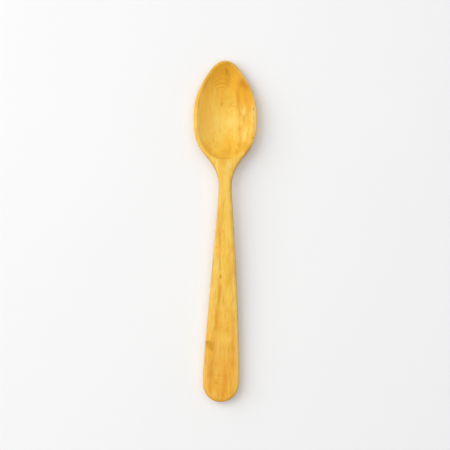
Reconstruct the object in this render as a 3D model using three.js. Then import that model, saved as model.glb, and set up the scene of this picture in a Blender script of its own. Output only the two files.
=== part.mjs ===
// A wooden spoon, carved in one piece: oval bowl, slim neck and a flat handle that flares to a round end.
// Millimetres. It lies on its back, hollow upwards: +Y points along it to the bowl's tip and +Z is up.
// The origin is on the surface that it rests on, under the bowl's axis and half way along the spoon.

import * as THREE from "three";
import { LoftGeometry } from "three/addons/geometries/LoftGeometry.js";
import { mergeGeometries, mergeVertices } from "three/addons/utils/BufferGeometryUtils.js";

// Driving dimensions. Places along the spoon are distances from the bowl's tip.
const LENGTH = 250;
const BOWL_HALF_WIDTH = 23.25;
const BOWL_WIDEST_AT = 41;
const NECK_HALF_WIDTH = 4.7;
const NECK_AT = 92;
const HANDLE_HALF_WIDTH = 13.4;
const HANDLE_LEAN = 3.4; // how far the handle's end stands to the left of the bowl's axis
const END_LENGTH = 14.2; // of the handle's rounded end

const RIM_WIDTH = 2.5;
const RIM_HEIGHT = 11.2; // at the bowl's widest place
const TIP_HEIGHT = 7.6; // of the rim at the tip
const HOLLOW_DEPTH = 6.9;
const HOLLOW_START = 1.6;
const HOLLOW_END = 72.2;

const NECK_TOP = 13;
const NECK_THICKNESS = 7.4;
const HANDLE_THICKNESS = 9;
const REST_FLAT = 0.3; // how much is sanded off under the bowl, so that it rests without rocking
const HEEL_FLAT = 0.25; // the same under the handle's end

const END_CENTRE = LENGTH - END_LENGTH;

// How the cross-section changes along the spoon. From the edge, where it is widest, the front rises
// and the back falls by powers of sine while the width follows powers of cosine.
// Powers of 1 make an ellipse, and lower ones a boxier section.
const SECTION_STYLES = [
  { at: 60, edgeDrop: 1.6, front: 0.42, backWidth: 1, backDepth: 1.7 }, // bowl
  { at: 90, edgeDrop: 3.4, front: 0.55, backWidth: 1, backDepth: 0.95 }, // neck
  { at: 150, edgeDrop: 3, front: 0.4, backWidth: 0.7, backDepth: 0.75 }, // handle
];
const HOLLOW_WALL = 2.1; // power of cosine for the hollow's cross-section

const LEFT = -1;
const RIGHT = 1;

// Steps of the mesh: across each side of the front, across the back, across the hollow.
const FRONT_STEPS = 5;
const BACK_STEPS = 18;
const HOLLOW_STEPS = 16;

// A smooth curve through knots, as a function of the distance from the tip.
// Each knot has a place and a value, the direction in which the curve passes it, and its pull on either side.
function profile(knots) {
  const path = new THREE.Path();
  path.moveTo(...knots[0].at);
  for (let i = 1; i < knots.length; i++) {
    const a = knots[i - 1];
    const b = knots[i];
    path.bezierCurveTo(
      a.at[0] + a.along[0] * a.after,
      a.at[1] + a.along[1] * a.after,
      b.at[0] - b.along[0] * b.before,
      b.at[1] - b.along[1] * b.before,
      ...b.at,
    );
  }
  const points = path.getPoints(400);
  return (place) => {
    const next = points.findIndex((p) => p.x >= place);
    if (next < 0) return points[points.length - 1].y;
    if (next === 0) return points[0].y;
    const a = points[next - 1];
    const b = points[next];
    return a.y + ((b.y - a.y) * (place - a.x)) / (b.x - a.x);
  };
}

// Half the width of the spoon, seen from above.
const halfWidth = profile([
  { at: [0, 0], along: [0, 1], after: 4.6 },
  { at: [10, 12.9], along: [1, 0.66], before: 7, after: 8 },
  { at: [BOWL_WIDEST_AT, BOWL_HALF_WIDTH], along: [1, 0], before: 14, after: 10.5 },
  { at: [70, 14.3], along: [1, -0.9], before: 9.4, after: 7.6 },
  { at: [NECK_AT, NECK_HALF_WIDTH], along: [1, 0], before: 7.2, after: 8 },
  { at: [END_CENTRE, HANDLE_HALF_WIDTH], along: [1, 0], before: 34, after: 7.2 },
  { at: [LENGTH, 0], along: [0, -1], before: 8.3 },
]);

// Half the width of the hollow at the rim. It follows the outline, a rim's width inside it,
// and ends round where the neck begins.
const hollowHalfWidth = profile([
  { at: [HOLLOW_START, 0], along: [0, 1], after: 4 },
  { at: [11.4, 11.9], along: [1, 0.67], before: 6.8, after: 7.5 },
  { at: [BOWL_WIDEST_AT, BOWL_HALF_WIDTH - RIM_WIDTH], along: [1, 0], before: 14, after: 10 },
  { at: [65.5, 14.6], along: [1, -0.81], before: 6.8, after: 4 },
  { at: [HOLLOW_END, 0], along: [0, -1], before: 6.2 },
]);

// Depth of the hollow's floor below its edge, along the middle.
const hollowDepth = profile([
  { at: [HOLLOW_START, 0], along: [1, 0.36], after: 10 },
  { at: [BOWL_WIDEST_AT, HOLLOW_DEPTH], along: [1, 0], before: 22, after: 15 },
  { at: [HOLLOW_END, 0], along: [1, -0.62], before: 7 },
]);

// Height of the rim and of the handle's front.
const frontHeight = profile([
  { at: [0, TIP_HEIGHT], along: [1, 0.03], after: 14 },
  { at: [BOWL_WIDEST_AT, RIM_HEIGHT], along: [1, 0.035], before: 14, after: 18 },
  { at: [NECK_AT, NECK_TOP], along: [1, 0], before: 14, after: 20 },
  { at: [LENGTH, HANDLE_THICKNESS], along: [1, -0.02], before: 60 },
]);

// Height of the back along the middle, before the flats that the spoon rests on are sanded.
const backHeight = profile([
  { at: [0, TIP_HEIGHT - SECTION_STYLES[0].edgeDrop], along: [0.15, -1], after: 4.4 },
  { at: [BOWL_WIDEST_AT, -REST_FLAT], along: [1, 0], before: 21, after: 17 },
  { at: [NECK_AT, NECK_TOP - NECK_THICKNESS], along: [1, 0.03], before: 19, after: 40 },
  { at: [LENGTH, -HEEL_FLAT], along: [1, 0], before: 50 },
]);

// How far the middle of the width stands from the bowl's axis.
const middle = profile([
  { at: [NECK_AT, 0], along: [1, -0.004], after: 50 },
  { at: [LENGTH, -HANDLE_LEAN], along: [1, -0.024], before: 50 },
]);

// The section style at a place, eased from one to the next.
function styleAt(place) {
  const last = SECTION_STYLES.length - 1;
  if (place <= SECTION_STYLES[0].at) return SECTION_STYLES[0];
  if (place >= SECTION_STYLES[last].at) return SECTION_STYLES[last];
  const i = SECTION_STYLES.findIndex((style) => style.at > place);
  const a = SECTION_STYLES[i - 1];
  const b = SECTION_STYLES[i];
  const share = THREE.MathUtils.smoothstep(place, a.at, b.at);
  const mixed = {};
  for (const key of Object.keys(a)) mixed[key] = THREE.MathUtils.lerp(a[key], b[key], share);
  return mixed;
}

// What is left of a height near a rounded end, where share runs from 0 inside it to 1 at its edge.
function roundedOff(share, power) {
  const inside = THREE.MathUtils.clamp(share, 0, 1);
  return (1 - inside ** (2 / power)) ** (power / 2);
}

// Everything that sets the cross-section at a place.
function sectionAt(place) {
  const style = styleAt(place);
  const half = halfWidth(place);
  const toTip = 1 - place / HOLLOW_START;
  const toEnd = 1 - (LENGTH - place) / END_LENGTH;
  const edge = frontHeight(place) - style.edgeDrop;
  const inHollow = place > HOLLOW_START && place < HOLLOW_END;
  const hollowHalf = inHollow ? hollowHalfWidth(place) : 0;
  const hollowAngle = half > 0 ? Math.acos((hollowHalf / half) ** (1 / style.front)) : Math.PI / 2;
  const rise = style.edgeDrop * roundedOff(toTip, style.front) * roundedOff(toEnd, style.front);
  return {
    y: LENGTH / 2 - place,
    middle: place > NECK_AT ? middle(place) : 0,
    half,
    edge,
    rise,
    fall: (edge - backHeight(place)) * roundedOff(toEnd, style.backDepth),
    style,
    hollowHalf,
    hollowAngle, // on the front, counted from the edge, where the hollow begins
    hollowEdge: edge + rise * Math.sin(hollowAngle) ** style.front,
    hollowDepth: inHollow ? hollowDepth(place) : 0,
  };
}

// A point of the hollow's edge, on the left or right side, which the outside and the hollow share.
function hollowEdgePoint(s, side) {
  return new THREE.Vector3(s.middle + side * s.hollowHalf, s.y, s.hollowEdge);
}

// One strip of the outside at a place: from the hollow's left edge over the rim, round the back and up again.
// Past the bowl, where there is no hollow, it closes on itself along the middle of the handle's front.
function outsideStrip(place) {
  const s = sectionAt(place);
  const onFront = (side, share) => {
    const angle = s.hollowAngle * share;
    const width = s.half * Math.cos(angle) ** s.style.front;
    const height = s.edge + s.rise * Math.sin(angle) ** s.style.front;
    return new THREE.Vector3(s.middle + side * width, s.y, height);
  };
  const onBack = (angle) => {
    const across = -Math.cos(angle);
    const width = s.half * Math.sign(across) * Math.abs(across) ** s.style.backWidth;
    const height = s.edge - s.fall * Math.sin(angle) ** s.style.backDepth;
    return new THREE.Vector3(s.middle + width, s.y, Math.max(height, 0));
  };
  const strip = [hollowEdgePoint(s, LEFT)];
  for (let i = FRONT_STEPS - 1; i > 0; i--) strip.push(onFront(LEFT, i / FRONT_STEPS));
  for (let i = 0; i <= BACK_STEPS; i++) strip.push(onBack((Math.PI * i) / BACK_STEPS));
  for (let i = 1; i < FRONT_STEPS; i++) strip.push(onFront(RIGHT, i / FRONT_STEPS));
  strip.push(hollowEdgePoint(s, RIGHT));
  return strip;
}

// One strip of the hollow at a place, from its right edge across the floor to its left edge.
function hollowStrip(place) {
  const s = sectionAt(place);
  const strip = [hollowEdgePoint(s, RIGHT)];
  for (let i = 1; i < HOLLOW_STEPS; i++) {
    const angle = Math.PI * (0.5 - i / HOLLOW_STEPS);
    const depth = s.hollowDepth * Math.cos(angle) ** HOLLOW_WALL;
    strip.push(new THREE.Vector3(s.middle + s.hollowHalf * Math.sin(angle), s.y, s.hollowEdge - depth));
  }
  strip.push(hollowEdgePoint(s, LEFT));
  return strip;
}

// Places from one to another, packed closer towards the start, the end or both.
function placesBetween(from, to, steps, packed) {
  const ease = {
    start: (t) => 1 - Math.cos((Math.PI / 2) * t),
    end: (t) => Math.sin((Math.PI / 2) * t),
    both: (t) => (1 - Math.cos(Math.PI * t)) / 2,
    none: (t) => t,
  }[packed];
  return Array.from({ length: steps }, (_, i) => THREE.MathUtils.lerp(from, to, ease((i + 1) / steps)));
}

// The outside and the hollow share their edge points, so that welded together they close.
function closedSolid(sheets) {
  const sheet = mergeGeometries(sheets);
  sheet.deleteAttribute("normal");
  sheet.deleteAttribute("uv");
  const welded = mergeVertices(sheet);
  const corners = welded.index.array;
  const kept = [];
  for (let i = 0; i < corners.length; i += 3) {
    const [a, b, c] = corners.subarray(i, i + 3);
    if (a !== b && b !== c && c !== a) kept.push(a, b, c);
  }
  welded.setIndex(kept);
  welded.computeVertexNormals();
  return welded;
}

const hollowPlaces = [HOLLOW_START, ...placesBetween(HOLLOW_START, HOLLOW_END, 28, "both")];
const outsidePlaces = [
  0,
  ...placesBetween(0, HOLLOW_START, 4, "start"),
  ...hollowPlaces.slice(1),
  ...placesBetween(HOLLOW_END, NECK_AT, 8, "start"),
  ...placesBetween(NECK_AT, END_CENTRE, 26, "none"),
  ...placesBetween(END_CENTRE, LENGTH, 9, "end"),
];

const wood = new THREE.MeshStandardMaterial({ color: 0xf2be57, roughness: 0.5, metalness: 0 });
const spoon = new THREE.Mesh(
  closedSolid([
    new LoftGeometry(outsidePlaces.map(outsideStrip), { closed: false }),
    new LoftGeometry(hollowPlaces.map(hollowStrip), { closed: false }),
  ]),
  wood,
);
spoon.name = "spoon";

const part = new THREE.Group();
part.add(spoon);

export default part;
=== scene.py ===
"""Dresses the carved wooden spoon: its sanded body, its oiled wood, the white table and the light.

Lengths are in millimetres, as a carver would write them. A place on the spoon is given as its distance
across from the bowl's axis, with right positive, and its distance from the bowl's tip.
"""

import logging
import math
from dataclasses import dataclass
from enum import Enum
from typing import Union

import bpy
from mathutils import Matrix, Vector


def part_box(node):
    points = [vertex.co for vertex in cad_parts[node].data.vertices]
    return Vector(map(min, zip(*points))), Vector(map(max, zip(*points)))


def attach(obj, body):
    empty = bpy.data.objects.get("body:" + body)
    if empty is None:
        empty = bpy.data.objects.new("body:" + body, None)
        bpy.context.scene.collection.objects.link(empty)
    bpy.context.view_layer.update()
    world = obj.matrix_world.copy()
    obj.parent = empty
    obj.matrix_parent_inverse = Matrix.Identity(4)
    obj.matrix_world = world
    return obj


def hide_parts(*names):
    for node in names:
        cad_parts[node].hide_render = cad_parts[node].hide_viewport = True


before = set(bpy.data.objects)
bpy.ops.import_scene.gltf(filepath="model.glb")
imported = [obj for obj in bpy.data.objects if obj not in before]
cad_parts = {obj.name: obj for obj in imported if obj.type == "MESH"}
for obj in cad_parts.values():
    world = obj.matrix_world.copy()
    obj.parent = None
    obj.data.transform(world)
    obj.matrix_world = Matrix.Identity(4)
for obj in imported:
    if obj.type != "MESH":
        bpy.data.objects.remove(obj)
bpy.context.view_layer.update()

LOG = logging.getLogger("spoon")
MM = 0.001
MID_CLOUD = (0.5, 0.5, 0.5)

Socket = bpy.types.NodeSocket
Triple = tuple[float, float, float]
Number = Union[float, Socket]
Place = Union[Triple, Socket]
Colour = Union[Triple, Socket]


def rgb(red: int, green: int, blue: int) -> Triple:
    """Turns a colour as seen on a screen into the linear light that a shader mixes.

    Args:
        red: Red, from 0 to 255.
        green: Green, from 0 to 255.
        blue: Blue, from 0 to 255.

    Returns:
        The three linear channels, from 0 to 1.
    """
    def linear(level: int) -> float:
        """Undoes the screen's curve for one channel."""
        share = level / 255
        return share / 12.92 if share <= 0.04045 else ((share + 0.055) / 1.055) ** 2.4

    return linear(red), linear(green), linear(blue)


def deselect_all() -> None:
    """Leaves object mode's selection empty."""
    bpy.ops.object.select_all(action="DESELECT")


def make_active(piece: bpy.types.Object) -> None:
    """Selects one object alone and makes it the one that operators act on.

    Args:
        piece: The object.
    """
    deselect_all()
    piece.select_set(True)
    bpy.context.view_layer.objects.active = piece


class Tone(Enum):
    """The colours that the wood's figure is made of, from palest to darkest."""

    CREAM = rgb(255, 226, 112)
    PALE = rgb(255, 223, 132)
    HONEY = rgb(254, 210, 94)
    PEACH = rgb(255, 197, 90)
    GOLD = rgb(250, 190, 46)
    STRAW = rgb(230, 196, 72)
    APRICOT = rgb(255, 184, 60)
    AMBER = rgb(245, 181, 64)
    MARIGOLD = rgb(242, 172, 40)
    ORANGE = rgb(240, 160, 44)
    TOFFEE = rgb(228, 164, 40)
    RUSSET = rgb(228, 152, 46)
    OCHRE = rgb(208, 148, 34)
    OLIVE = rgb(190, 146, 46)
    RUST = rgb(198, 108, 20)
    BROWN = rgb(146, 94, 24)


class Bench:
    """A workbench for one node tree: adds nodes, sets their values and links them."""

    def __init__(self, tree: bpy.types.NodeTree) -> None:
        """Clears the tree.

        Args:
            tree: The node tree to build.
        """
        self.tree = tree
        self.tree.nodes.clear()

    def add(self, kind: str, **settings: object) -> bpy.types.Node:
        """Adds a node.

        Args:
            kind: The node's type name.
            settings: Properties to set on the node.

        Returns:
            The new node.
        """
        node = self.tree.nodes.new(kind)
        for name, value in settings.items():
            setattr(node, name, value)
        return node

    def feed(self, socket: Socket, value: object) -> None:
        """Links a socket to another, or sets its own value.

        Args:
            socket: The input to feed.
            value: An output socket, a number, a vector or a colour.
        """
        if isinstance(value, Socket):
            self.tree.links.new(value, socket)
        elif socket.type == "RGBA":
            socket.default_value = (*value, 1.0)
        else:
            socket.default_value = value

    def number(self, operation: str, first: Number, second: Number = 0.0, clamp: bool = False) -> Socket:
        """Works out a number from two others.

        Args:
            operation: Blender's name for the sum.
            first: The first number.
            second: The second number.
            clamp: Whether the result is kept between 0 and 1.

        Returns:
            The result.
        """
        node = self.add("ShaderNodeMath", operation=operation, use_clamp=clamp)
        self.feed(node.inputs[0], first)
        self.feed(node.inputs[1], second)
        return node.outputs[0]

    def vector(self, operation: str, first: Place, second: Place) -> Socket:
        """Works out a vector from two others.

        Args:
            operation: Blender's name for the sum.
            first: The first vector.
            second: The second vector.

        Returns:
            The result.
        """
        node = self.add("ShaderNodeVectorMath", operation=operation)
        self.feed(node.inputs[0], first)
        self.feed(node.inputs[1], second)
        return node.outputs["Vector"]

    def axes(self, vector: Socket) -> tuple[Socket, Socket, Socket]:
        """Splits a vector.

        Args:
            vector: The vector.

        Returns:
            Its three numbers.
        """
        node = self.add("ShaderNodeSeparateXYZ")
        self.feed(node.inputs[0], vector)
        return node.outputs["X"], node.outputs["Y"], node.outputs["Z"]

    def spread(
        self, value: Number, start: float, end: float, low: float = 0.0, high: float = 1.0
    ) -> Socket:
        """Eases a value from one range to another.

        Args:
            value: The value to ease.
            start: Where the range begins.
            end: Where it ends.
            low: What the beginning becomes.
            high: What the end becomes.

        Returns:
            The eased value.
        """
        node = self.add("ShaderNodeMapRange", interpolation_type="SMOOTHSTEP")
        for socket, setting in zip(node.inputs, (value, start, end, low, high)):
            self.feed(socket, setting)
        return node.outputs["Result"]

    def mix(self, below: Colour, above: Colour, share: Number) -> Socket:
        """Lays one colour over another.

        Args:
            below: The colour underneath.
            above: The colour on top.
            share: How much of the top one counts.

        Returns:
            The mixed colour.
        """
        node = self.add("ShaderNodeMix", data_type="RGBA", blend_type="MIX")
        self.feed(node.inputs["Factor"], share)
        self.feed(node.inputs["A"], below)
        self.feed(node.inputs["B"], above)
        return node.outputs["Result"]

    def finish(self, kind: str, surface: Socket) -> None:
        """Links the finished surface to the tree's output.

        Args:
            kind: The output node's type name.
            surface: The finished shader.
        """
        out = self.add(kind)
        self.feed(out.inputs["Surface"], surface)


def new_material(name: str) -> tuple[bpy.types.Material, Bench]:
    """Starts a material.

    Args:
        name: What the material is called.

    Returns:
        The material and the bench of its node tree.
    """
    material = bpy.data.materials.new(name)
    material.use_nodes = True
    return material, Bench(material.node_tree)


@dataclass(frozen=True)
class Cloud:
    """Cloud noise, with its own number of clouds to a unit of length along each axis."""

    scale: Triple
    detail: float = 2.0
    roughness: float = 0.5

    def noise(self, bench: Bench, where: Socket) -> bpy.types.Node:
        """Adds the noise.

        Args:
            bench: The material's node bench.
            where: Where it is read.

        Returns:
            The noise node.
        """
        node = bench.add("ShaderNodeTexNoise", noise_dimensions="3D")
        bench.feed(node.inputs["Vector"], bench.vector("MULTIPLY", where, self.scale))
        bench.feed(node.inputs["Scale"], 1.0)
        bench.feed(node.inputs["Detail"], self.detail)
        bench.feed(node.inputs["Roughness"], self.roughness)
        return node

    def density(self, bench: Bench, where: Socket) -> Socket:
        """Reads how dense the clouds are, from 0 to 1."""
        return self.noise(bench, where).outputs["Fac"]


class Figure(Enum):
    """The clouds, drawn out along the grain, that the wood's figure is made of."""

    BROAD = Cloud((0.2, 0.011, 0.2), 3.0, 0.55)
    MEDIUM = Cloud((0.65, 0.04, 0.65), 4.0, 0.65)
    BLOTCH = Cloud((0.3, 0.17, 0.3), 4.0, 0.6)
    FIBRE = Cloud((1.9, 0.11, 1.9), 4.0, 0.65)
    PORES = Cloud((3.0, 0.5, 3.0), 2.0, 0.5)


@dataclass(frozen=True)
class Tint:
    """A tone that comes in while some value goes from where the tone starts to where it is full."""

    tone: Tone
    start: float
    full: float
    strength: float

    def lay(self, bench: Bench, value: Socket, below: Colour) -> Socket:
        """Lays the tone over the wood.

        Args:
            bench: The wood's node bench.
            value: The value that brings the tone in.
            below: The wood's colour so far.

        Returns:
            The wood's colour with the tone.
        """
        share = bench.spread(value, self.start, self.full, 0.0, self.strength)
        return bench.mix(below, self.tone.value, share)


# The depth of a mark that runs through the wood, and the shares of its blob where it begins and is full.
THROUGH = 60.0
MARK_EDGE = 0.1
MARK_HEART = 0.9


@dataclass(frozen=True)
class GrainMark:
    """A soft mark: mostly a streak, blotch, knot or pale patch in the wood, and in a few places painted
    shade, painted light or a painted highlight.

    It fades to half at its half sizes. Its turn is in degrees, and its lower end leans left where that is
    positive. It runs through the wood from top to bottom unless it has a height and a small depth.
    """

    name: str
    across: float
    from_tip: float
    half_width: float
    half_length: float
    tone: Tone
    strength: float
    turn: float = 0.0
    height: float = 0.0
    depth: float = THROUGH

    def share(self, bench: Bench, plan: Socket) -> Socket:
        """Fades from the mark's middle to nothing.

        Args:
            bench: The wood's node bench.
            plan: Places across, from the tip and up, in millimetres.

        Returns:
            How much of the mark shows.
        """
        reach = 2 * self.half_length + self.depth
        place = bench.add("ShaderNodeMapping", vector_type="TEXTURE", label=self.name)
        bench.feed(place.inputs["Vector"], plan)
        bench.feed(place.inputs["Location"], (self.across, self.from_tip, self.height))
        bench.feed(place.inputs["Rotation"], (0.0, 0.0, math.radians(self.turn)))
        bench.feed(place.inputs["Scale"], (2 * self.half_width, 2 * self.half_length, reach))
        blob = bench.add("ShaderNodeTexGradient", gradient_type="SPHERICAL")
        bench.feed(blob.inputs["Vector"], place.outputs["Vector"])
        return bench.spread(blob.outputs["Fac"], MARK_EDGE, MARK_HEART, 0.0, self.strength)

    def lay(self, bench: Bench, plan: Socket, below: Socket) -> Socket:
        """Lays the mark over the wood.

        Args:
            bench: The wood's node bench.
            plan: Places across, from the tip and up, in millimetres.
            below: The wood's colour so far.

        Returns:
            The wood's colour with the mark.
        """
        return bench.mix(below, self.tone.value, self.share(bench, plan))


RIM_TOP = 11.0
FLECK_DEPTH = 4.0
HANDLE_TOP = 9.0
KNOT_DEPTH = 6.0

BROAD_TONES = (
    GrainMark("calm bowl", -5.0, 47.0, 11.0, 14.0, Tone.HONEY, 0.6),
    GrainMark("upper warmth", 1.0, 21.0, 11.0, 10.0, Tone.MARIGOLD, 0.42),
    GrainMark("left wall", -15.0, 26.0, 5.0, 17.0, Tone.APRICOT, 0.45),
    GrainMark("left wall low", -14.0, 46.0, 5.5, 15.0, Tone.PEACH, 0.4),
    GrainMark("right wall", 14.5, 36.0, 4.6, 25.0, Tone.OLIVE, 0.14),
    GrainMark("calm neck", -1.5, 96.0, 3.6, 19.0, Tone.HONEY, 0.7),
)

TIP_MARKS = (
    GrainMark("tip shade", 0.5, 4.5, 12.0, 5.0, Tone.TOFFEE, 0.7),
    GrainMark("tip warmth", 4.0, 8.6, 5.5, 3.2, Tone.TOFFEE, 0.35),
    GrainMark("tip end", 1.8, 2.0, 2.4, 1.3, Tone.BROWN, 0.25),
    GrainMark("tip spot", 1.0, 8.0, 1.0, 2.8, Tone.BROWN, 0.55),
    GrainMark("tip cap", -1.4, 8.4, 2.4, 2.8, Tone.OCHRE, 0.35),
    GrainMark("tip cap right", 5.2, 9.8, 2.2, 2.8, Tone.OCHRE, 0.22),
    GrainMark("tip spot foot", 2.6, 10.6, 1.4, 1.0, Tone.OLIVE, 0.55),
    GrainMark("upper left", -7.0, 13.5, 7.0, 7.0, Tone.MARIGOLD, 0.5),
    GrainMark("upper left rim", -11.8, 9.0, 1.3, 6.5, Tone.OCHRE, 0.45, 35.0),
    GrainMark("left wall shade", -14.2, 16.5, 1.3, 4.5, Tone.OCHRE, 0.4, 24.0),
    GrainMark("left rim top", -16.4, 14.5, 1.2, 5.0, Tone.OCHRE, 0.35, 28.0),
    # Painted shade on the left rim, which faces the lamps, and painted light on the right rim, which
    # turns away from them.
    GrainMark("left rim", -20.4, 28.0, 1.5, 12.0, Tone.AMBER, 0.55, 14.0),
    GrainMark("right rim", 21.8, 39.0, 1.4, 20.0, Tone.PALE, 0.6, -3.0),
    GrainMark("upper right rim", 15.4, 14.0, 1.1, 9.0, Tone.HONEY, 0.55, -29.0),
    GrainMark("ring warmth", 0.5, 13.8, 6.5, 4.5, Tone.TOFFEE, 0.25),
    GrainMark("ring shade", 2.0, 14.5, 2.2, 4.0, Tone.OCHRE, 0.5),
    GrainMark("upper marigold", 6.6, 18.0, 2.4, 8.0, Tone.MARIGOLD, 0.75),
    GrainMark("upper right shade", 12.0, 13.2, 1.5, 3.2, Tone.RUSSET, 0.55, -30.0),
    GrainMark("upper dash", 9.4, 19.0, 0.8, 2.4, Tone.HONEY, 0.4, -53.0),
)

RIGHT_WALL_MARKS = (
    GrainMark("eye", 12.8, 18.8, 2.8, 4.8, Tone.RUST, 0.75, -28.0),
    GrainMark("eye shade", 13.6, 24.5, 4.0, 6.0, Tone.TOFFEE, 0.8, -25.0),
    GrainMark("right wall marigold", 16.4, 27.0, 2.8, 8.0, Tone.MARIGOLD, 0.85, -22.0),
    GrainMark("right marigold", 12.4, 29.0, 2.0, 6.0, Tone.MARIGOLD, 0.65, -8.0),
    GrainMark("right streak", 9.4, 28.5, 1.2, 8.5, Tone.OCHRE, 0.7, -3.0),
    GrainMark("right light streak", 12.3, 27.0, 0.8, 4.5, Tone.HONEY, 0.18, -6.0),
    GrainMark("right shade streak", 15.2, 27.5, 1.0, 5.5, Tone.OCHRE, 0.3, -10.0),
    GrainMark("right shade outer", 18.2, 26.0, 1.1, 5.0, Tone.TOFFEE, 0.4, -16.0),
    GrainMark("eye heart", 12.6, 15.8, 1.3, 3.0, Tone.OCHRE, 0.6, 4.0),
    GrainMark("eye wing", 14.4, 18.6, 1.4, 3.2, Tone.RUST, 0.32, -30.0),
    GrainMark("right wall shade", 13.2, 26.0, 2.6, 8.0, Tone.OLIVE, 0.12),
    GrainMark("right toffee", 17.2, 34.5, 1.4, 2.6, Tone.TOFFEE, 0.5),
    GrainMark("eye dash", 13.9, 36.3, 0.9, 2.2, Tone.PALE, 0.6),
    GrainMark("eye dash shade left", 11.8, 39.5, 0.8, 2.6, Tone.RUSSET, 0.45, -35.0),
    GrainMark("eye dash shade right", 16.0, 39.5, 0.7, 2.4, Tone.RUSSET, 0.5, 35.0),
    GrainMark("eye tail", 13.6, 43.5, 0.8, 3.0, Tone.RUSSET, 0.45),
    GrainMark("rim fleck", 20.6, 36.0, 0.6, 1.4, Tone.OLIVE, 0.6, 0.0, RIM_TOP, FLECK_DEPTH),
    GrainMark("rim fleck middle", 20.6, 42.5, 0.5, 1.0, Tone.OLIVE, 0.35, 0.0, RIM_TOP, FLECK_DEPTH),
    GrainMark("rim fleck below", 20.4, 57.0, 1.2, 0.9, Tone.OLIVE, 0.45, 0.0, RIM_TOP, FLECK_DEPTH),
)

HOLLOW_MARKS = (
    GrainMark("centre warmth", 0.5, 26.5, 7.0, 8.0, Tone.MARIGOLD, 0.35),
    GrainMark("centre straw", 2.2, 26.5, 3.4, 6.0, Tone.STRAW, 0.42),
    GrainMark("centre line", -2.7, 26.0, 0.5, 5.0, Tone.RUSSET, 0.35),
    GrainMark("fleck", -2.7, 31.3, 0.8, 1.3, Tone.OCHRE, 0.6),
    GrainMark("fleck right", 4.6, 31.4, 0.9, 0.8, Tone.OLIVE, 0.45),
    GrainMark("pale floor left", -6.0, 46.0, 3.6, 4.6, Tone.PALE, 0.25),
    GrainMark("pale floor", 5.0, 45.0, 4.6, 3.6, Tone.PALE, 0.45),
    GrainMark("lower streak", 10.6, 53.0, 0.9, 6.5, Tone.RUSSET, 0.45),
    GrainMark("lower streak fleck", 10.4, 50.0, 0.7, 1.1, Tone.OCHRE, 0.4),
    GrainMark("lower dash", 14.0, 55.0, 1.1, 3.6, Tone.PALE, 0.5),
    GrainMark("lower marigold", 2.4, 62.0, 3.6, 7.0, Tone.MARIGOLD, 0.5),
    GrainMark("lower gold", 0.5, 61.5, 5.5, 5.0, Tone.GOLD, 0.25),
    GrainMark("lower fleck", 3.4, 64.2, 0.8, 1.9, Tone.OCHRE, 0.4),
    GrainMark("lower right spot", 10.3, 61.8, 1.7, 2.2, Tone.TOFFEE, 0.8),
    GrainMark("lower right shade", 14.8, 62.6, 3.0, 4.0, Tone.TOFFEE, 0.6),
    GrainMark("lower right foot", 9.0, 66.4, 2.2, 1.8, Tone.TOFFEE, 0.7),
    GrainMark("lower streak foot", 11.4, 58.6, 1.0, 2.4, Tone.TOFFEE, 0.45),
    GrainMark("lower right edge", 11.6, 65.2, 1.2, 1.8, Tone.TOFFEE, 0.5),
    GrainMark("heel shade", 0.8, 67.4, 3.4, 2.4, Tone.OCHRE, 0.28),
    # Painted shade where the hollow's lower edge turns from the lamps and on the right shoulder's outer
    # wall, and a painted highlight along the shoulder's edge.
    GrainMark("lower left shade", -13.3, 64.6, 1.7, 5.0, Tone.TOFFEE, 0.5, -35.0),
    GrainMark("lower left shade foot", -8.0, 69.6, 1.1, 3.8, Tone.OCHRE, 0.45, -66.0),
    GrainMark("right shoulder", 16.4, 66.2, 0.9, 6.0, Tone.BROWN, 0.35, 37.0),
    GrainMark("right shoulder light", 11.4, 69.2, 0.8, 1.8, Tone.PALE, 0.5, 37.0),
    GrainMark("hollow heel", -1.5, 71.5, 0.8, 4.5, Tone.OCHRE, 0.45, -86.0),
    GrainMark("heel warmth", -0.6, 73.0, 3.4, 4.0, Tone.RUSSET, 0.26),
)

NECK_MARKS = (
    GrainMark("neck blush", -2.4, 75.5, 1.6, 3.2, Tone.RUSSET, 0.15),
    GrainMark("neck pale", 3.0, 76.0, 1.8, 2.8, Tone.PALE, 0.45),
    GrainMark("neck left line", -4.0, 93.0, 0.5, 8.0, Tone.RUSSET, 0.35),
    GrainMark("neck line", -2.5, 94.0, 0.5, 9.0, Tone.RUSSET, 0.25),
    GrainMark("neck honey", 0.6, 91.0, 1.2, 6.0, Tone.HONEY, 0.85),
    GrainMark("neck slant", -1.2, 104.5, 0.9, 3.0, Tone.RUSSET, 0.3, 25.0),
    # Painted shade on the neck's right edge, which turns away from the lamps.
    GrainMark("neck right shade", 3.7, 91.0, 0.7, 7.0, Tone.OLIVE, 0.3),
    GrainMark("neck band", -4.9, 121.0, 1.1, 13.0, Tone.RUSSET, 0.52, 1.5),
    GrainMark("neck band blush", -3.6, 128.0, 1.4, 9.0, Tone.ORANGE, 0.4),
    GrainMark("neck band edge", -2.0, 113.0, 1.0, 9.0, Tone.RUSSET, 0.42, 3.0),
    GrainMark("neck honey low", 2.2, 122.0, 1.6, 10.0, Tone.HONEY, 0.75),
    GrainMark("neck gold", 1.8, 118.0, 1.8, 12.0, Tone.GOLD, 0.15),
)

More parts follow.
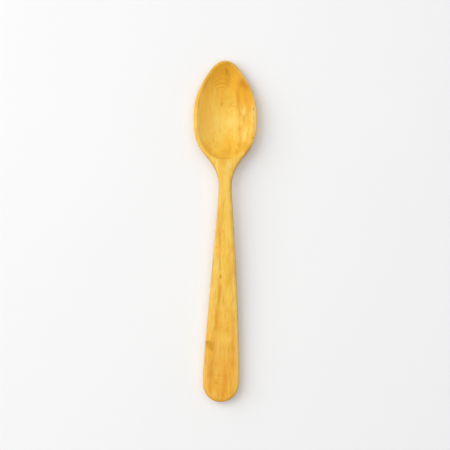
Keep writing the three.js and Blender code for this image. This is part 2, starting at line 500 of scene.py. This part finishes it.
UPPER_HANDLE_MARKS = (
    # Painted shade along the handle's right edge, which turns away from the lamps.
    GrainMark("right edge shade", 5.9, 140.0, 0.55, 24.0, Tone.OLIVE, 0.35, -3.2),
    GrainMark("left edge line", -8.9, 150.0, 0.5, 14.0, Tone.OLIVE, 0.25, 3.0),
    GrainMark("pale line", -0.6, 139.0, 0.6, 10.0, Tone.HONEY, 0.6, 3.0),
    GrainMark("right amber", 3.6, 148.0, 1.7, 12.0, Tone.AMBER, 0.6),
    GrainMark("left pale line", -5.6, 149.0, 0.7, 6.0, Tone.PALE, 0.45, 2.0),
    GrainMark("left honey", -7.1, 157.0, 1.4, 9.0, Tone.HONEY, 0.6, 2.0),
    GrainMark("left margin", -9.4, 174.0, 1.2, 18.0, Tone.PALE, 0.3, 3.0),
    GrainMark("right margin", 8.6, 204.0, 1.3, 34.0, Tone.PALE, 0.5, -2.0),
    GrainMark("dark line", -3.7, 149.0, 0.5, 6.0, Tone.OCHRE, 0.6),
    GrainMark("middle gold", 0.0, 150.0, 2.2, 9.0, Tone.GOLD, 0.22),
    GrainMark("middle gold low", -0.6, 189.0, 2.6, 11.0, Tone.GOLD, 0.25),
    GrainMark("pin knot", -3.5, 157.6, 0.8, 1.7, Tone.RUST, 0.6),
    GrainMark("knot streak", -4.1, 168.5, 1.1, 8.0, Tone.RUSSET, 0.6, 1.0),
    GrainMark("knot streak glow", -3.2, 168.0, 0.8, 6.0, Tone.ORANGE, 0.5),
    GrainMark("right mottle", 3.2, 160.0, 1.8, 7.0, Tone.TOFFEE, 0.45),
    GrainMark("right honey", 2.0, 172.0, 2.0, 4.6, Tone.HONEY, 0.85),
)

LOWER_HANDLE_MARKS = (
    GrainMark("left honey low", -9.4, 188.0, 1.8, 14.0, Tone.HONEY, 0.5, 4.0),
    GrainMark("slanting line", -4.9, 175.0, 1.0, 8.0, Tone.OCHRE, 0.55, 2.0),
    GrainMark("slanting band", -6.2, 189.5, 1.3, 8.0, Tone.RUSSET, 0.8, 3.0),
    GrainMark("right edge band", 5.2, 200.0, 1.2, 28.0, Tone.ORANGE, 0.5, -1.0),
    GrainMark("pin hole", -7.6, 196.4, 0.7, 1.0, Tone.BROWN, 0.45),
    GrainMark("pale knot patch", -1.6, 203.0, 2.6, 3.4, Tone.HONEY, 0.8),
    GrainMark("side knot", -11.4, 207.4, 3.0, 2.6, Tone.OCHRE, 0.72, 10.0, HANDLE_TOP, KNOT_DEPTH),
    GrainMark("side knot heart", -12.9, 205.9, 1.5, 0.8, Tone.BROWN, 0.5, 8.0, HANDLE_TOP, KNOT_DEPTH),
    GrainMark("side knot foot", -10.2, 209.4, 2.0, 1.8, Tone.OCHRE, 0.7, 30.0, HANDLE_TOP, KNOT_DEPTH),
    GrainMark("side knot dot", -9.8, 211.2, 1.0, 1.0, Tone.BROWN, 0.35),
    GrainMark("side knot tail", -8.5, 214.0, 1.1, 3.4, Tone.RUSSET, 0.6, -4.0),
    GrainMark("side knot blush", -12.8, 212.0, 1.2, 1.8, Tone.APRICOT, 0.4),
    GrainMark("side knot shade", -8.0, 205.0, 1.7, 8.0, Tone.RUSSET, 0.4),
    GrainMark("side knot glow", -12.2, 215.5, 1.6, 3.0, Tone.GOLD, 0.5),
)

END_MARKS = (
    GrainMark("right stain", 5.2, 210.0, 0.9, 3.6, Tone.RUSSET, 0.45),
    GrainMark("right grain", 3.0, 217.0, 1.2, 9.0, Tone.RUSSET, 0.5),
    GrainMark("right gold low", 4.2, 227.0, 1.7, 9.0, Tone.GOLD, 0.3),
    GrainMark("right stain foot", 5.4, 221.5, 1.2, 3.0, Tone.RUSSET, 0.55),
    GrainMark("lower mottle", -3.5, 222.0, 4.0, 9.0, Tone.AMBER, 0.6),
    GrainMark("lower pallor", -4.2, 214.0, 2.2, 6.5, Tone.PALE, 0.14),
    GrainMark("lower pallor foot", -2.0, 224.5, 1.9, 5.5, Tone.PALE, 0.13),
    GrainMark("left stain top", -9.2, 219.0, 0.9, 3.0, Tone.OCHRE, 0.4),
    GrainMark("left stain", -10.6, 227.0, 1.9, 9.5, Tone.RUST, 0.5, 2.0),
    GrainMark("left stain foot", -11.2, 240.0, 1.2, 3.8, Tone.RUSSET, 0.7),
    GrainMark("end left slant", -6.6, 235.8, 2.8, 0.9, Tone.OCHRE, 0.45, 28.0),
    GrainMark("end streak", -0.2, 233.0, 1.8, 8.0, Tone.RUSSET, 0.75, 4.0),
    GrainMark("end left", -7.0, 238.0, 3.4, 4.0, Tone.MARIGOLD, 0.5),
    GrainMark("left end margin", -14.1, 219.0, 0.6, 9.0, Tone.OCHRE, 0.3),
    GrainMark("left stain low", -8.9, 229.5, 1.2, 3.0, Tone.OCHRE, 0.22),
    GrainMark("end left light", -5.0, 238.6, 1.4, 2.0, Tone.HONEY, 0.3),
    GrainMark("end streak right", 3.0, 230.0, 0.9, 6.0, Tone.RUSSET, 0.3),
    GrainMark("end streak foot", -1.0, 242.0, 2.2, 5.0, Tone.ORANGE, 0.8),
    GrainMark("end line left", -5.0, 245.0, 0.6, 2.6, Tone.RUSSET, 0.5),
    GrainMark("end line middle", -2.2, 245.5, 0.6, 2.6, Tone.RUSSET, 0.5),
    GrainMark("end line right", 1.6, 245.0, 0.6, 2.8, Tone.RUSSET, 0.5),
    GrainMark("end warmth", -1.0, 238.0, 16.0, 12.0, Tone.ORANGE, 0.22),
    GrainMark("end right honey", 7.7, 233.0, 1.8, 9.0, Tone.HONEY, 0.5),
    GrainMark("handle warmth", -3.0, 222.0, 26.0, 36.0, Tone.ORANGE, 0.2),
)

# Later marks lie over earlier ones.
WOOD_MARKS = (
    BROAD_TONES + TIP_MARKS + RIGHT_WALL_MARKS + HOLLOW_MARKS
    + NECK_MARKS + UPPER_HANDLE_MARKS + LOWER_HANDLE_MARKS + END_MARKS
)


@dataclass(frozen=True)
class GrowthRings:
    """The arched growth layers that the hollow was carved through, each darkest near its lower edge."""

    patch: GrainMark = GrainMark("growth rings", -2.8, 15.8, 6.2, 4.2, Tone.OCHRE, 0.95)
    arch_across: float = -2.2
    arch_bend: float = 0.086
    first_from_tip: float = 11.6
    spacing: float = 3.05
    sway: Cloud = Cloud((0.14, 0.1, 0.14))
    pale_to: float = 0.3
    darkest_at: float = 0.75

    def lay(self, bench: Bench, plan: Socket, below: Socket) -> Socket:
        """Draws the rings over the wood.

        Args:
            bench: The wood's node bench.
            plan: Places in millimetres.
            below: The wood's colour so far.

        Returns:
            The wood's colour with its rings.
        """
        across, from_tip, _ = bench.axes(plan)
        aside = bench.number("SUBTRACT", across, self.arch_across)
        arch = bench.number("MULTIPLY", bench.number("MULTIPLY", aside, aside), self.arch_bend)
        swayed = bench.number("ADD", from_tip, self.sway.density(bench, plan))
        layer = bench.number("SUBTRACT", swayed, arch)
        past_first = bench.number("SUBTRACT", layer, self.first_from_tip)
        through = bench.number("FRACT", bench.number("DIVIDE", past_first, self.spacing))
        darkening = bench.spread(through, self.pale_to, self.darkest_at)
        line = bench.number("SUBTRACT", darkening, bench.spread(through, self.darkest_at, 1.0))
        share = bench.number("MULTIPLY", line, self.patch.share(bench, plan))
        return bench.mix(below, self.patch.tone.value, share)


@dataclass(frozen=True)
class Curl:
    """Faint ripples across the grain, in the places where the wood is curly."""

    patches: tuple[GrainMark, ...] = (
        GrainMark("bowl curl", 3.0, 30.0, 4.4, 9.0, Tone.RUSSET, 0.55),
        GrainMark("handle curl", -3.6, 226.0, 3.8, 11.0, Tone.RUSSET, 0.4),
    )
    ripple: Cloud = Cloud((0.18, 0.62, 0.18), 1.0)
    pale_to: float = 0.46
    dark_from: float = 0.66

    def lay(self, bench: Bench, plan: Socket, below: Socket) -> Socket:
        """Draws the ripples over the wood.

        Args:
            bench: The wood's node bench.
            plan: Places in millimetres.
            below: The wood's colour so far.

        Returns:
            The wood's colour with its ripples.
        """
        ripple = bench.spread(self.ripple.density(bench, plan), self.pale_to, self.dark_from)
        for patch in self.patches:
            share = bench.number("MULTIPLY", ripple, patch.share(bench, plan))
            below = bench.mix(below, patch.tone.value, share)
        return below


@dataclass(frozen=True)
class OiledWood:
    """Pale close-grained hardwood, sanded and oiled to a golden satin.

    The end grain's tints come in as a place faces the handle's end, which counts as negative, or the
    tip; the toffee tint on places that face the handle's end, away from the lamps, is partly painted
    shade. A place is as rich as the top while it faces up more than oiled_to, and dry and painted darker
    where it faces up less than dry_from, which is partly painted shade on the sides. The wood is
    smoothest where its fibres are as dense as smooth_fibre, and roughest where they are as dense as
    rough_fibre.
    """

    ground: Tone = Tone.HONEY
    tints: tuple[tuple[Figure, Tint], ...] = (
        (Figure.BROAD, Tint(Tone.AMBER, 0.35, 0.7, 0.8)),
        (Figure.MEDIUM, Tint(Tone.RUSSET, 0.5, 0.75, 0.5)),
        (Figure.MEDIUM, Tint(Tone.PALE, 0.46, 0.28, 0.45)),
        (Figure.BLOTCH, Tint(Tone.AMBER, 0.48, 0.7, 0.7)),
        (Figure.BLOTCH, Tint(Tone.PALE, 0.45, 0.3, 0.35)),
        (Figure.FIBRE, Tint(Tone.CREAM, 0.48, 0.32, 0.6)),
        (Figure.FIBRE, Tint(Tone.OCHRE, 0.5, 0.7, 0.6)),
        (Figure.PORES, Tint(Tone.BROWN, 0.66, 0.82, 0.35)),
    )
    # End grain, and partly painted shade: the toffee tint darkens places that face the handle's end, away
    # from the lamps.
    end_grain_and_shade: tuple[Tint, ...] = (
        Tint(Tone.TOFFEE, -0.04, -0.36, 0.85),
        Tint(Tone.GOLD, 0.1, 0.6, 0.6),
    )
    rings: GrowthRings = GrowthRings()
    curl: Curl = Curl()
    marks: tuple[GrainMark, ...] = WOOD_MARKS
    raggedness: Cloud = Cloud((0.45, 0.14, 0.45), 3.0)
    ragged_by: Triple = (1.8, 5.0, 0.0)
    handle_from: float = 95.0
    handle_lean: float = 0.03
    sapwood: GrainMark = GrainMark("sapwood", 24.0, 40.0, 8.0, 26.0, Tone.PALE, 1.0)
    # Sides that face up less than the top are dulled and darkened: partly dry wood, partly painted shade.
    oiled_to: float = 0.92
    dry_from: float = 0.45
    dry_saturation: float = 0.82
    dry_value: float = 0.8
    smooth_fibre: float = 0.3
    rough_fibre: float = 0.7
    smoothest: float = 0.45
    roughest: float = 0.58
    sheen: float = 0.1
    fibre_lift: float = 0.04
    fibre_relief: float = 0.5

    def material(self) -> bpy.types.Material:
        """Makes the wood.

        Returns:
            The finished material.
        """
        material, bench = new_material("oiled_wood")
        plan = self.plan(bench)
        grain = self.along_grain(bench, plan)
        clouds = {kind: kind.value.density(bench, grain) for kind in Figure}
        colour = self.figured(bench, clouds)
        colour = self.with_end_grain(bench, colour)
        colour = self.rings.lay(bench, plan, colour)
        colour = self.curl.lay(bench, plan, colour)
        ragged = self.ragged(bench, plan)
        for mark in self.marks:
            colour = mark.lay(bench, ragged, colour)
        fibre = clouds[Figure.FIBRE]
        shader = bench.add("ShaderNodeBsdfPrincipled")
        bench.feed(shader.inputs["Base Color"], self.with_dry_and_shaded_sides(bench, plan, colour))
        bench.feed(shader.inputs["Roughness"], self.satin(bench, fibre))
        bench.feed(shader.inputs["Specular IOR Level"], self.sheen)
        bench.feed(shader.inputs["Normal"], self.raised_grain(bench, fibre))
        bench.finish("ShaderNodeOutputMaterial", shader.outputs["BSDF"])
        return material

    def plan(self, bench: Bench) -> Socket:
        """Turns Object coordinates into places across, from the tip and up, in millimetres.

        Args:
            bench: The wood's node bench.

        Returns:
            The places.
        """
        place = bench.add("ShaderNodeMapping", vector_type="POINT")
        bench.feed(place.inputs["Vector"], bench.add("ShaderNodeTexCoord").outputs["Object"])
        bench.feed(place.inputs["Location"], (0.0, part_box("spoon")[1].y / MM, 0.0))
        bench.feed(place.inputs["Scale"], (1 / MM, -1 / MM, 1 / MM))
        return place.outputs["Vector"]

    def along_grain(self, bench: Bench, plan: Socket) -> Socket:
        """Follows the grain, which leans with the handle.

        Args:
            bench: The wood's node bench.
            plan: Places in millimetres.

        Returns:
            Places whose second axis runs with the grain.
        """
        across, from_tip, up = bench.axes(plan)
        past_neck = bench.number("SUBTRACT", from_tip, self.handle_from)
        down_handle = bench.number("MAXIMUM", past_neck, 0.0)
        lean = bench.number("MULTIPLY", down_handle, self.handle_lean)
        place = bench.add("ShaderNodeCombineXYZ")
        bench.feed(place.inputs["X"], bench.number("ADD", across, lean))
        bench.feed(place.inputs["Y"], from_tip)
        bench.feed(place.inputs["Z"], up)
        return place.outputs["Vector"]

    def ragged(self, bench: Bench, plan: Socket) -> Socket:
        """Bends the places a little, so that marks have ragged edges.

        Args:
            bench: The wood's node bench.
            plan: Places in millimetres.

        Returns:
            The bent places.
        """
        cloud = self.raggedness.noise(bench, plan).outputs["Color"]
        either_way = bench.vector("SUBTRACT", cloud, MID_CLOUD)
        return bench.vector("ADD", plan, bench.vector("MULTIPLY", either_way, self.ragged_by))

    def figured(self, bench: Bench, clouds: dict[Figure, Socket]) -> Socket:
        """Mixes long streaks, blotches, fibres and pores over the ground tone.

        Args:
            bench: The wood's node bench.
            clouds: How dense each kind of cloud is.

        Returns:
            The wood's colour before its marks.
        """
        colour = self.ground.value
        for kind, tint in self.tints:
            colour = tint.lay(bench, clouds[kind], colour)
        return colour

    def facing(self, bench: Bench) -> tuple[Socket, Socket, Socket]:
        """Splits the direction that a place faces into across, along towards the tip, and up."""
        return bench.axes(bench.add("ShaderNodeTexCoord").outputs["Normal"])

    def with_end_grain(self, bench: Bench, colour: Socket) -> Socket:
        """Darkens places that face along the grain, where the wood drinks more oil; on places that face
        the handle's end, away from the lamps, the darkening is partly painted shade.

        Args:
            bench: The wood's node bench.
            colour: The wood's colour so far.

        Returns:
            The wood's colour with its end grain.
        """
        _, along, _ = self.facing(bench)
        for tint in self.end_grain_and_shade:
            colour = tint.lay(bench, along, colour)
        return colour

    def with_dry_and_shaded_sides(self, bench: Bench, plan: Socket, colour: Socket) -> Socket:
        """Dulls the sides, which take less oil than the top, but for the sapwood on the bowl's right; the
        dulling is partly painted shade on the sides.

        Args:
            bench: The wood's node bench.
            plan: Places in millimetres.
            colour: The wood's colour so far.

        Returns:
            The wood's colour with its dry, partly painted-shade sides.
        """
        _, _, up = self.facing(bench)
        # Partly painted shade: the less a place faces up, the duller and darker it is painted.
        side = bench.spread(up, self.oiled_to, self.dry_from)
        dryness_and_shade = bench.number("SUBTRACT", side, self.sapwood.share(bench, plan), clamp=True)
        dry = bench.add("ShaderNodeHueSaturation")
        bench.feed(dry.inputs["Saturation"], self.dry_saturation)
        bench.feed(dry.inputs["Value"], self.dry_value)
        bench.feed(dry.inputs["Fac"], dryness_and_shade)
        bench.feed(dry.inputs["Color"], colour)
        return dry.outputs["Color"]

    def satin(self, bench: Bench, fibre: Socket) -> Socket:
        """Makes dense fibres a little rougher than the rest."""
        return bench.spread(fibre, self.smooth_fibre, self.rough_fibre, self.smoothest, self.roughest)

    def raised_grain(self, bench: Bench, fibre: Socket) -> Socket:
        """Lifts the fibres a few hundredths of a millimetre.

        Args:
            bench: The wood's node bench.
            fibre: How dense the fibres are.

        Returns:
            The direction that each place faces.
        """
        bump = bench.add("ShaderNodeBump")
        bench.feed(bump.inputs["Strength"], self.fibre_relief)
        bench.feed(bump.inputs["Distance"], self.fibre_lift * MM)
        bench.feed(bump.inputs["Height"], fibre)
        return bump.outputs["Normal"]


@dataclass
class CarvedSpoon:
    """The spoon itself, carved from one billet and sanded smooth."""

    node: str = "spoon"
    name: str = "carved_spoon"
    weld: float = 0.01
    quad_angle: float = 60.0
    smooth_levels: int = 2
    wood: OiledWood = OiledWood()

    def build(self) -> bpy.types.Object:
        """Makes the finished piece and hangs it on the frame.

        Returns:
            The spoon.
        """
        piece = self.copy_of_solid()
        self.draw_quads(piece)
        self.smooth(piece)
        self.dress(piece)
        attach(piece, "root")
        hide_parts(self.node)
        return piece

    def copy_of_solid(self) -> bpy.types.Object:
        """Copies the solid's mesh into a new object.

        Returns:
            The new object, still bare.
        """
        piece = bpy.data.objects.new(self.name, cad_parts[self.node].data.copy())
        bpy.context.scene.collection.objects.link(piece)
        piece.data.materials.clear()
        return piece

    def draw_quads(self, piece: bpy.types.Object) -> None:
        """Welds the loose triangles and pairs them into the quads of the loft.

        Args:
            piece: The spoon.
        """
        widest = math.radians(self.quad_angle)
        make_active(piece)
        bpy.ops.object.mode_set(mode="EDIT")
        bpy.ops.mesh.select_all(action="SELECT")
        bpy.ops.mesh.remove_doubles(threshold=self.weld * MM)
        bpy.ops.mesh.tris_convert_to_quads(face_threshold=widest, shape_threshold=widest)
        bpy.ops.object.mode_set(mode="OBJECT")

    def smooth(self, piece: bpy.types.Object) -> None:
        """Sands the facets away.

        Args:
            piece: The spoon.
        """
        make_active(piece)
        smoother = piece.modifiers.new("sanding", "SUBSURF")
        smoother.levels = self.smooth_levels
        smoother.render_levels = self.smooth_levels
        bpy.ops.object.modifier_apply(modifier=smoother.name)
        bpy.ops.object.shade_smooth()

    def dress(self, piece: bpy.types.Object) -> None:
        """Oils the wood."""
        piece.data.materials.append(self.wood.material())


@dataclass(frozen=True)
class WhitePaint:
    """Matt white paint with a faint unevenness, which fades into the white room far from the spoon."""

    tone: Triple = rgb(253, 253, 253)
    mottle: Cloud = Cloud((9.0, 9.0, 9.0))
    mottle_value: float = 0.98
    roughness: float = 0.9
    sheen: float = 0.1
    solid_to: float = 450.0
    gone_at: float = 1200.0

    def material(self) -> bpy.types.Material:
        """Makes the paint.

        Returns:
            The finished material.
        """
        material, bench = new_material("white_paint")
        where = bench.add("ShaderNodeTexCoord").outputs["Object"]
        darker = tuple(channel * self.mottle_value for channel in self.tone)
        colour = bench.mix(darker, self.tone, self.mottle.density(bench, where))
        shader = bench.add("ShaderNodeBsdfPrincipled")
        bench.feed(shader.inputs["Base Color"], colour)
        bench.feed(shader.inputs["Roughness"], self.roughness)
        bench.feed(shader.inputs["Specular IOR Level"], self.sheen)
        away = bench.add("ShaderNodeVectorMath", operation="LENGTH")
        bench.feed(away.inputs[0], where)
        gone = bench.spread(away.outputs["Value"], self.solid_to * MM, self.gone_at * MM)
        fade = bench.add("ShaderNodeMixShader")
        bench.feed(fade.inputs["Fac"], gone)
        bench.feed(fade.inputs[1], shader.outputs["BSDF"])
        bench.feed(fade.inputs[2], bench.add("ShaderNodeBsdfTransparent").outputs["BSDF"])
        bench.finish("ShaderNodeOutputMaterial", fade.outputs["Shader"])
        return material


@dataclass
class WhiteTable:
    """The plain pale surface that the spoon lies on."""

    side: float = 8000.0
    paint: WhitePaint = WhitePaint()

    def build(self) -> bpy.types.Object:
        """Lays the table.

        Returns:
            The table, which is not part of the spoon.
        """
        deselect_all()
        bpy.ops.mesh.primitive_plane_add(size=self.side * MM, location=(0, 0, 0))
        table = bpy.context.active_object
        table.name = "white_table"
        table.data.materials.append(self.paint.material())
        return table


@dataclass(frozen=True)
class SoftLamp:
    """A square softbox aimed at the spoon. Its bearing and its angle above the table are in degrees."""

    name: str
    bearing: float
    height_angle: float
    distance: float
    side: float
    watts: float

    def build(self) -> bpy.types.Object:
        """Hangs the lamp.

        Returns:
            The lamp.
        """
        turn = math.radians(self.bearing)
        lift = math.radians(self.height_angle)
        level = math.cos(lift)
        towards = Vector((math.cos(turn) * level, math.sin(turn) * level, math.sin(lift)))
        light = bpy.data.lights.new(self.name, "AREA")
        light.shape = "SQUARE"
        light.size = self.side * MM
        light.energy = self.watts
        lamp = bpy.data.objects.new(self.name, light)
        lamp.location = towards * self.distance * MM
        lamp.rotation_euler = towards.to_track_quat("Z", "Y").to_euler()
        bpy.context.scene.collection.objects.link(lamp)
        return lamp


@dataclass
class Studio:
    """Soft light from the upper left, a soft top light and an even white room."""

    key: SoftLamp = SoftLamp("key_softbox", 160.0, 40.0, 1950.0, 1950.0, 23.3)
    top: SoftLamp = SoftLamp("top_softbox", 90.0, 83.0, 2200.0, 2400.0, 17.4)
    room_tone: Triple = rgb(255, 255, 255)
    room_light: float = 0.38
    room_seen: float = 0.92

    def build(self) -> bpy.types.World:
        """Hangs the lamps and paints the room.

        Returns:
            The room.
        """
        self.key.build()
        self.top.build()
        world = bpy.data.worlds.new("white_room")
        world.use_nodes = True
        bench = Bench(world.node_tree)
        path = bench.add("ShaderNodeLightPath")
        seen = bench.number("MAXIMUM", path.outputs["Is Camera Ray"], path.outputs["Is Glossy Ray"])
        seen = bench.number("MAXIMUM", seen, path.outputs["Is Transmission Ray"])
        strength = bench.spread(seen, 0.0, 1.0, self.room_light, self.room_seen)
        backdrop = bench.add("ShaderNodeBackground")
        bench.feed(backdrop.inputs["Color"], self.room_tone)
        bench.feed(backdrop.inputs["Strength"], strength)
        bench.finish("ShaderNodeOutputWorld", backdrop.outputs["Background"])
        bpy.context.scene.world = world
        return world


@dataclass
class CameraAbove:
    """The camera, straight above the spoon as in the photograph, whose rows and columns are in pixels."""

    image_side: int = 450
    tip_row: float = 60.7
    end_row: float = 402.0
    axis_column: float = 225.25
    distance: float = 1500.0
    sensor: float = 36.0

    def build(self) -> bpy.types.Object:
        """Sets the camera up.

        Returns:
            The camera.
        """
        low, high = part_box("spoon")
        pixel = (high.y - low.y) / (self.end_row - self.tip_row)
        middle = self.image_side / 2
        aim_x = (middle - self.axis_column) * pixel
        aim_y = (low.y + high.y) / 2 + ((self.tip_row + self.end_row) / 2 - middle) * pixel
        data = bpy.data.cameras.new("camera_above")
        data.sensor_width = self.sensor
        data.lens = self.sensor * self.distance * MM / (self.image_side * pixel)
        camera = bpy.data.objects.new("camera_above", data)
        camera.location = (aim_x, aim_y, high.z / 2 + self.distance * MM)
        bpy.context.scene.collection.objects.link(camera)
        bpy.context.scene.camera = camera
        return camera


def main() -> None:
    """Builds the spoon and its setting, in order, and reports each piece."""
    logging.basicConfig(level=logging.INFO, format="%(name)s: %(message)s")
    bpy.context.scene.view_settings.view_transform = "Standard"
    camera = CameraAbove().build()
    table = WhiteTable().build()
    room = Studio().build()
    spoon = CarvedSpoon().build()
    LOG.info("setting: %s, %s, %s", camera.name, table.name, room.name)
    LOG.info("%s: %d faces", spoon.name, len(spoon.data.polygons))


if __name__ == "__main__":
    main()
